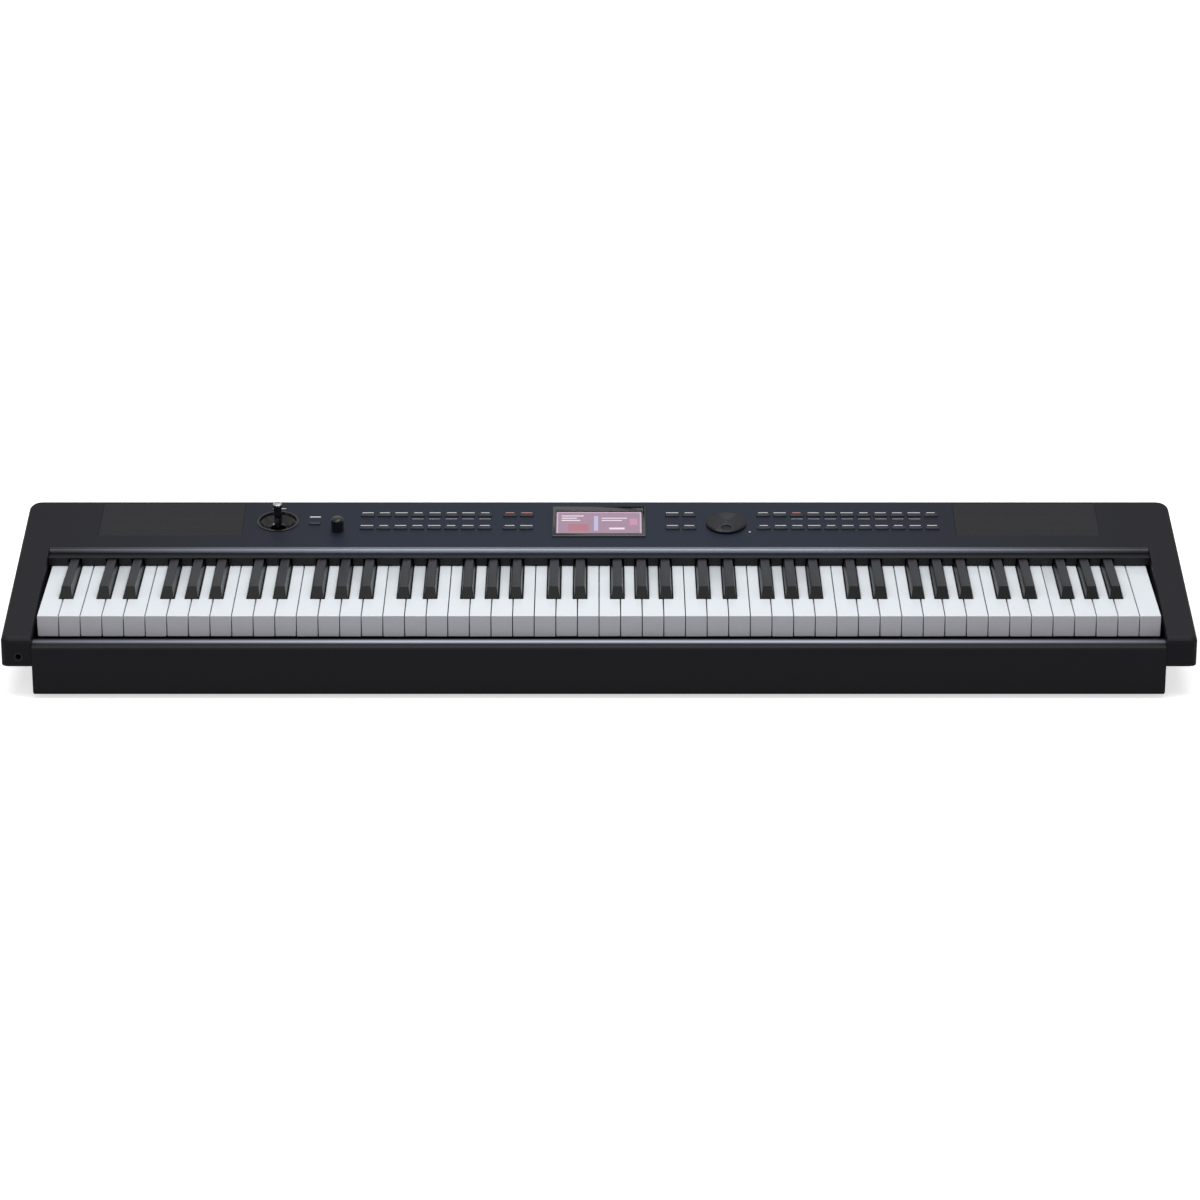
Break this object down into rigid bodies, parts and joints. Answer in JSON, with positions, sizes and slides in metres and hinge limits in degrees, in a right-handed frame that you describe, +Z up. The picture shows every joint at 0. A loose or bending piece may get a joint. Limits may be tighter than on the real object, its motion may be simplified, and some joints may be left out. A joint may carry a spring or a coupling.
{
  "type": "digital piano",
  "caption": "Portable digital piano with a full keyboard, sloped control panel with screen, dial, joystick and button rows, and two speaker grilles.",
  "frame": {"origin": "centre of the footprint on the surface that the feet stand on", "axes": "+X to the player's right along the keyboard, +Y away from the player, +Z up"},
  "size_m": [1.296, 0.3076, 0.1322],
  "materials": {
    "case_plastic": "fine satin grain",
    "side_plastic": "fine satin grain",
    "trim_plastic": "smooth satin gloss",
    "white_key_plastic": "polished",
    "black_key_plastic": "satin",
    "frame_plastic": "plain moulded",
    "felt": "pressed felt",
    "rubber": "matt",
    "circuit_board": "lacquered",
    "button_plastic": "smooth moulded",
    "control_plastic": "smooth moulded",
    "display_glass": "clear",
    "display_panel": "smooth",
    "grille_plastic": "pierced mesh",
    "speaker_cone": "pulp cone on a stamped basket",
    "socket_metal": "plated"
  },
  "bodies": {
    "chassis": {"bottom_case": "side_plastic", "contact_rubber": "rubber", "dc_inlet": "socket_metal", "foot_front_left": "rubber", "foot_front_right": "rubber", "foot_rear_left": "rubber", "foot_rear_right": "rubber", "front_trim": "trim_plastic", "grille_left": "grille_plastic", "grille_right": "grille_plastic", "headphone_jack": "control_plastic", "joystick_bowl": "control_plastic", "key_contact_board": "circuit_board", "key_frame": "frame_plastic", "key_skirt": "side_plastic", "key_stop_felt": "felt", "lcd_module": "display_panel", "main_board": "circuit_board", "panel_board": "circuit_board", "pedal_jack": "control_plastic", "screen_bezel": "control_plastic", "screen_glass": "display_glass", "speaker_left": "speaker_cone", "speaker_right": "speaker_cone", "top_case": "case_plastic", "usb_socket": "socket_metal"},
    "octave_1_naturals_odd": {"octave_1_naturals_odd": "white_key_plastic"},
    "octave_1_naturals_even": {"octave_1_naturals_even": "white_key_plastic"},
    "octave_1_sharps": {"octave_1_sharps": "black_key_plastic"},
    "octave_2_naturals_odd": {"octave_2_naturals_odd": "white_key_plastic"},
    "octave_2_naturals_even": {"octave_2_naturals_even": "white_key_plastic"},
    "octave_2_sharps": {"octave_2_sharps": "black_key_plastic"},
    "octave_3_naturals_odd": {"octave_3_naturals_odd": "white_key_plastic"},
    "octave_3_naturals_even": {"octave_3_naturals_even": "white_key_plastic"},
    "octave_3_sharps": {"octave_3_sharps": "black_key_plastic"},
    "octave_4_naturals_odd": {"octave_4_naturals_odd": "white_key_plastic"},
    "octave_4_naturals_even": {"octave_4_naturals_even": "white_key_plastic"},
    "octave_4_sharps": {"octave_4_sharps": "black_key_plastic"},
    "octave_5_naturals_odd": {"octave_5_naturals_odd": "white_key_plastic"},
    "octave_5_naturals_even": {"octave_5_naturals_even": "white_key_plastic"},
    "octave_5_sharps": {"octave_5_sharps": "black_key_plastic"},
    "octave_6_naturals_odd": {"octave_6_naturals_odd": "white_key_plastic"},
    "octave_6_naturals_even": {"octave_6_naturals_even": "white_key_plastic"},
    "octave_6_sharps": {"octave_6_sharps": "black_key_plastic"},
    "octave_7_naturals_odd": {"octave_7_naturals_odd": "white_key_plastic"},
    "octave_7_naturals_even": {"octave_7_naturals_even": "white_key_plastic"},
    "octave_7_sharps": {"octave_7_sharps": "black_key_plastic"},
    "rhythm_buttons_far": {"rhythm_buttons_far": "button_plastic"},
    "rhythm_buttons_near": {"rhythm_buttons_near": "button_plastic"},
    "sound_buttons_far": {"sound_buttons_far": "button_plastic"},
    "sound_buttons_near": {"sound_buttons_near": "button_plastic"},
    "song_buttons": {"song_buttons": "button_plastic"},
    "menu_buttons": {"menu_buttons": "button_plastic"},
    "function_button": {"function_button": "button_plastic"},
    "power_button": {"power_button": "button_plastic"},
    "volume_knob": {"volume_knob": "control_plastic"},
    "data_dial": {"data_dial": "control_plastic"},
    "joystick_gimbal": {"joystick_gimbal": "frame_plastic"},
    "joystick_stick": {"joystick_stick": "control_plastic"}
  },
  "joints": [
    {"name": "octave_1_naturals_odd_press", "type": "hinge", "parent": "chassis", "child": "octave_1_naturals_odd", "pos_m": [0, 0.08125, 0.0764], "axis": [1, 0, 0], "range_deg": [0, 2.7], "stiffness_Nm_per_rad": 1, "springref_deg": -28.65},
    {"name": "octave_1_naturals_even_press", "type": "hinge", "parent": "chassis", "child": "octave_1_naturals_even", "pos_m": [0, 0.08125, 0.0764], "axis": [1, 0, 0], "range_deg": [0, 2.7], "stiffness_Nm_per_rad": 1, "springref_deg": -28.65},
    {"name": "octave_1_sharps_press", "type": "hinge", "parent": "chassis", "child": "octave_1_sharps", "pos_m": [0, 0.08125, 0.0764], "axis": [1, 0, 0], "range_deg": [0, 2.7], "stiffness_Nm_per_rad": 1, "springref_deg": -28.65},
    {"name": "octave_2_naturals_odd_press", "type": "hinge", "parent": "chassis", "child": "octave_2_naturals_odd", "pos_m": [0, 0.08125, 0.0764], "axis": [1, 0, 0], "range_deg": [0, 2.7], "stiffness_Nm_per_rad": 1, "springref_deg": -28.65},
    {"name": "octave_2_naturals_even_press", "type": "hinge", "parent": "chassis", "child": "octave_2_naturals_even", "pos_m": [0, 0.08125, 0.0764], "axis": [1, 0, 0], "range_deg": [0, 2.7], "stiffness_Nm_per_rad": 1, "springref_deg": -28.65},
    {"name": "octave_2_sharps_press", "type": "hinge", "parent": "chassis", "child": "octave_2_sharps", "pos_m": [0, 0.08125, 0.0764], "axis": [1, 0, 0], "range_deg": [0, 2.7], "stiffness_Nm_per_rad": 1, "springref_deg": -28.65},
    {"name": "octave_3_naturals_odd_press", "type": "hinge", "parent": "chassis", "child": "octave_3_naturals_odd", "pos_m": [0, 0.08125, 0.0764], "axis": [1, 0, 0], "range_deg": [0, 2.7], "stiffness_Nm_per_rad": 1, "springref_deg": -28.65},
    {"name": "octave_3_naturals_even_press", "type": "hinge", "parent": "chassis", "child": "octave_3_naturals_even", "pos_m": [0, 0.08125, 0.0764], "axis": [1, 0, 0], "range_deg": [0, 2.7], "stiffness_Nm_per_rad": 1, "springref_deg": -28.65},
    {"name": "octave_3_sharps_press", "type": "hinge", "parent": "chassis", "child": "octave_3_sharps", "pos_m": [0, 0.08125, 0.0764], "axis": [1, 0, 0], "range_deg": [0, 2.7], "stiffness_Nm_per_rad": 1, "springref_deg": -28.65},
    {"name": "octave_4_naturals_odd_press", "type": "hinge", "parent": "chassis", "child": "octave_4_naturals_odd", "pos_m": [0, 0.08125, 0.0764], "axis": [1, 0, 0], "range_deg": [0, 2.7], "stiffness_Nm_per_rad": 1, "springref_deg": -28.65},
    {"name": "octave_4_naturals_even_press", "type": "hinge", "parent": "chassis", "child": "octave_4_naturals_even", "pos_m": [0, 0.08125, 0.0764], "axis": [1, 0, 0], "range_deg": [0, 2.7], "stiffness_Nm_per_rad": 1, "springref_deg": -28.65},
    {"name": "octave_4_sharps_press", "type": "hinge", "parent": "chassis", "child": "octave_4_sharps", "pos_m": [0, 0.08125, 0.0764], "axis": [1, 0, 0], "range_deg": [0, 2.7], "stiffness_Nm_per_rad": 1, "springref_deg": -28.65},
    {"name": "octave_5_naturals_odd_press", "type": "hinge", "parent": "chassis", "child": "octave_5_naturals_odd", "pos_m": [0, 0.08125, 0.0764], "axis": [1, 0, 0], "range_deg": [0, 2.7], "stiffness_Nm_per_rad": 1, "springref_deg": -28.65},
    {"name": "octave_5_naturals_even_press", "type": "hinge", "parent": "chassis", "child": "octave_5_naturals_even", "pos_m": [0, 0.08125, 0.0764], "axis": [1, 0, 0], "range_deg": [0, 2.7], "stiffness_Nm_per_rad": 1, "springref_deg": -28.65},
    {"name": "octave_5_sharps_press", "type": "hinge", "parent": "chassis", "child": "octave_5_sharps", "pos_m": [0, 0.08125, 0.0764], "axis": [1, 0, 0], "range_deg": [0, 2.7], "stiffness_Nm_per_rad": 1, "springref_deg": -28.65},
    {"name": "octave_6_naturals_odd_press", "type": "hinge", "parent": "chassis", "child": "octave_6_naturals_odd", "pos_m": [0, 0.08125, 0.0764], "axis": [1, 0, 0], "range_deg": [0, 2.7], "stiffness_Nm_per_rad": 1, "springref_deg": -28.65},
    {"name": "octave_6_naturals_even_press", "type": "hinge", "parent": "chassis", "child": "octave_6_naturals_even", "pos_m": [0, 0.08125, 0.0764], "axis": [1, 0, 0], "range_deg": [0, 2.7], "stiffness_Nm_per_rad": 1, "springref_deg": -28.65},
    {"name": "octave_6_sharps_press", "type": "hinge", "parent": "chassis", "child": "octave_6_sharps", "pos_m": [0, 0.08125, 0.0764], "axis": [1, 0, 0], "range_deg": [0, 2.7], "stiffness_Nm_per_rad": 1, "springref_deg": -28.65},
    {"name": "octave_7_naturals_odd_press", "type": "hinge", "parent": "chassis", "child": "octave_7_naturals_odd", "pos_m": [0, 0.08125, 0.0764], "axis": [1, 0, 0], "range_deg": [0, 2.7], "stiffness_Nm_per_rad": 1, "springref_deg": -28.65},
    {"name": "octave_7_naturals_even_press", "type": "hinge", "parent": "chassis", "child": "octave_7_naturals_even", "pos_m": [0, 0.08125, 0.0764], "axis": [1, 0, 0], "range_deg": [0, 2.7], "stiffness_Nm_per_rad": 1, "springref_deg": -28.65},
    {"name": "octave_7_sharps_press", "type": "hinge", "parent": "chassis", "child": "octave_7_sharps", "pos_m": [0, 0.08125, 0.0764], "axis": [1, 0, 0], "range_deg": [0, 2.7], "stiffness_Nm_per_rad": 1, "springref_deg": -28.65},
    {"name": "rhythm_buttons_far_press", "type": "slide", "parent": "chassis", "child": "rhythm_buttons_far", "axis": [0, 0.1483, -0.9889], "range_m": [0, 0.001], "stiffness_N_per_m": 400, "springref_m": -0.002},
    {"name": "rhythm_buttons_near_press", "type": "slide", "parent": "chassis", "child": "rhythm_buttons_near", "axis": [0, 0.1483, -0.9889], "range_m": [0, 0.001], "stiffness_N_per_m": 400, "springref_m": -0.002},
    {"name": "sound_buttons_far_press", "type": "slide", "parent": "chassis", "child": "sound_buttons_far", "axis": [0, 0.1483, -0.9889], "range_m": [0, 0.001], "stiffness_N_per_m": 400, "springref_m": -0.002},
    {"name": "sound_buttons_near_press", "type": "slide", "parent": "chassis", "child": "sound_buttons_near", "axis": [0, 0.1483, -0.9889], "range_m": [0, 0.001], "stiffness_N_per_m": 400, "springref_m": -0.002},
    {"name": "song_buttons_press", "type": "slide", "parent": "chassis", "child": "song_buttons", "axis": [0, 0.1483, -0.9889], "range_m": [0, 0.001], "stiffness_N_per_m": 400, "springref_m": -0.002},
    {"name": "menu_buttons_press", "type": "slide", "parent": "chassis", "child": "menu_buttons", "axis": [0, 0.1483, -0.9889], "range_m": [0, 0.001], "stiffness_N_per_m": 400, "springref_m": -0.002},
    {"name": "function_button_press", "type": "slide", "parent": "chassis", "child": "function_button", "axis": [0, 0.1483, -0.9889], "range_m": [0, 0.001], "stiffness_N_per_m": 400, "springref_m": -0.002},
    {"name": "power_button_press", "type": "slide", "parent": "chassis", "child": "power_button", "axis": [0, -1, 0], "range_m": [0, 0.0018], "stiffness_N_per_m": 400, "springref_m": -0.002},
    {"name": "volume_knob_turn", "type": "hinge", "parent": "chassis", "child": "volume_knob", "pos_m": [-0.2946, 0.08473, 0.10645], "axis": [0, -0.1483, 0.9889], "range_deg": [-150, 150]},
    {"name": "data_dial_turn", "type": "hinge", "parent": "chassis", "child": "data_dial", "pos_m": [0.1434, 0.09778, 0.10841], "axis": [0, -0.1483, 0.9889], "continuous": true},
    {"name": "joystick_tilt_fore_aft", "type": "hinge", "parent": "chassis", "child": "joystick_gimbal", "pos_m": [-0.3629, 0.10671, 0.09205], "axis": [1, 0, 0], "range_deg": [-18, 18], "stiffness_Nm_per_rad": 0.05},
    {"name": "joystick_tilt_sideways", "type": "hinge", "parent": "joystick_gimbal", "child": "joystick_stick", "pos_m": [-0.3629, 0.10671, 0.09205], "axis": [0, 0.9889, 0.1483], "range_deg": [-18, 18], "stiffness_Nm_per_rad": 0.05}
  ]
}
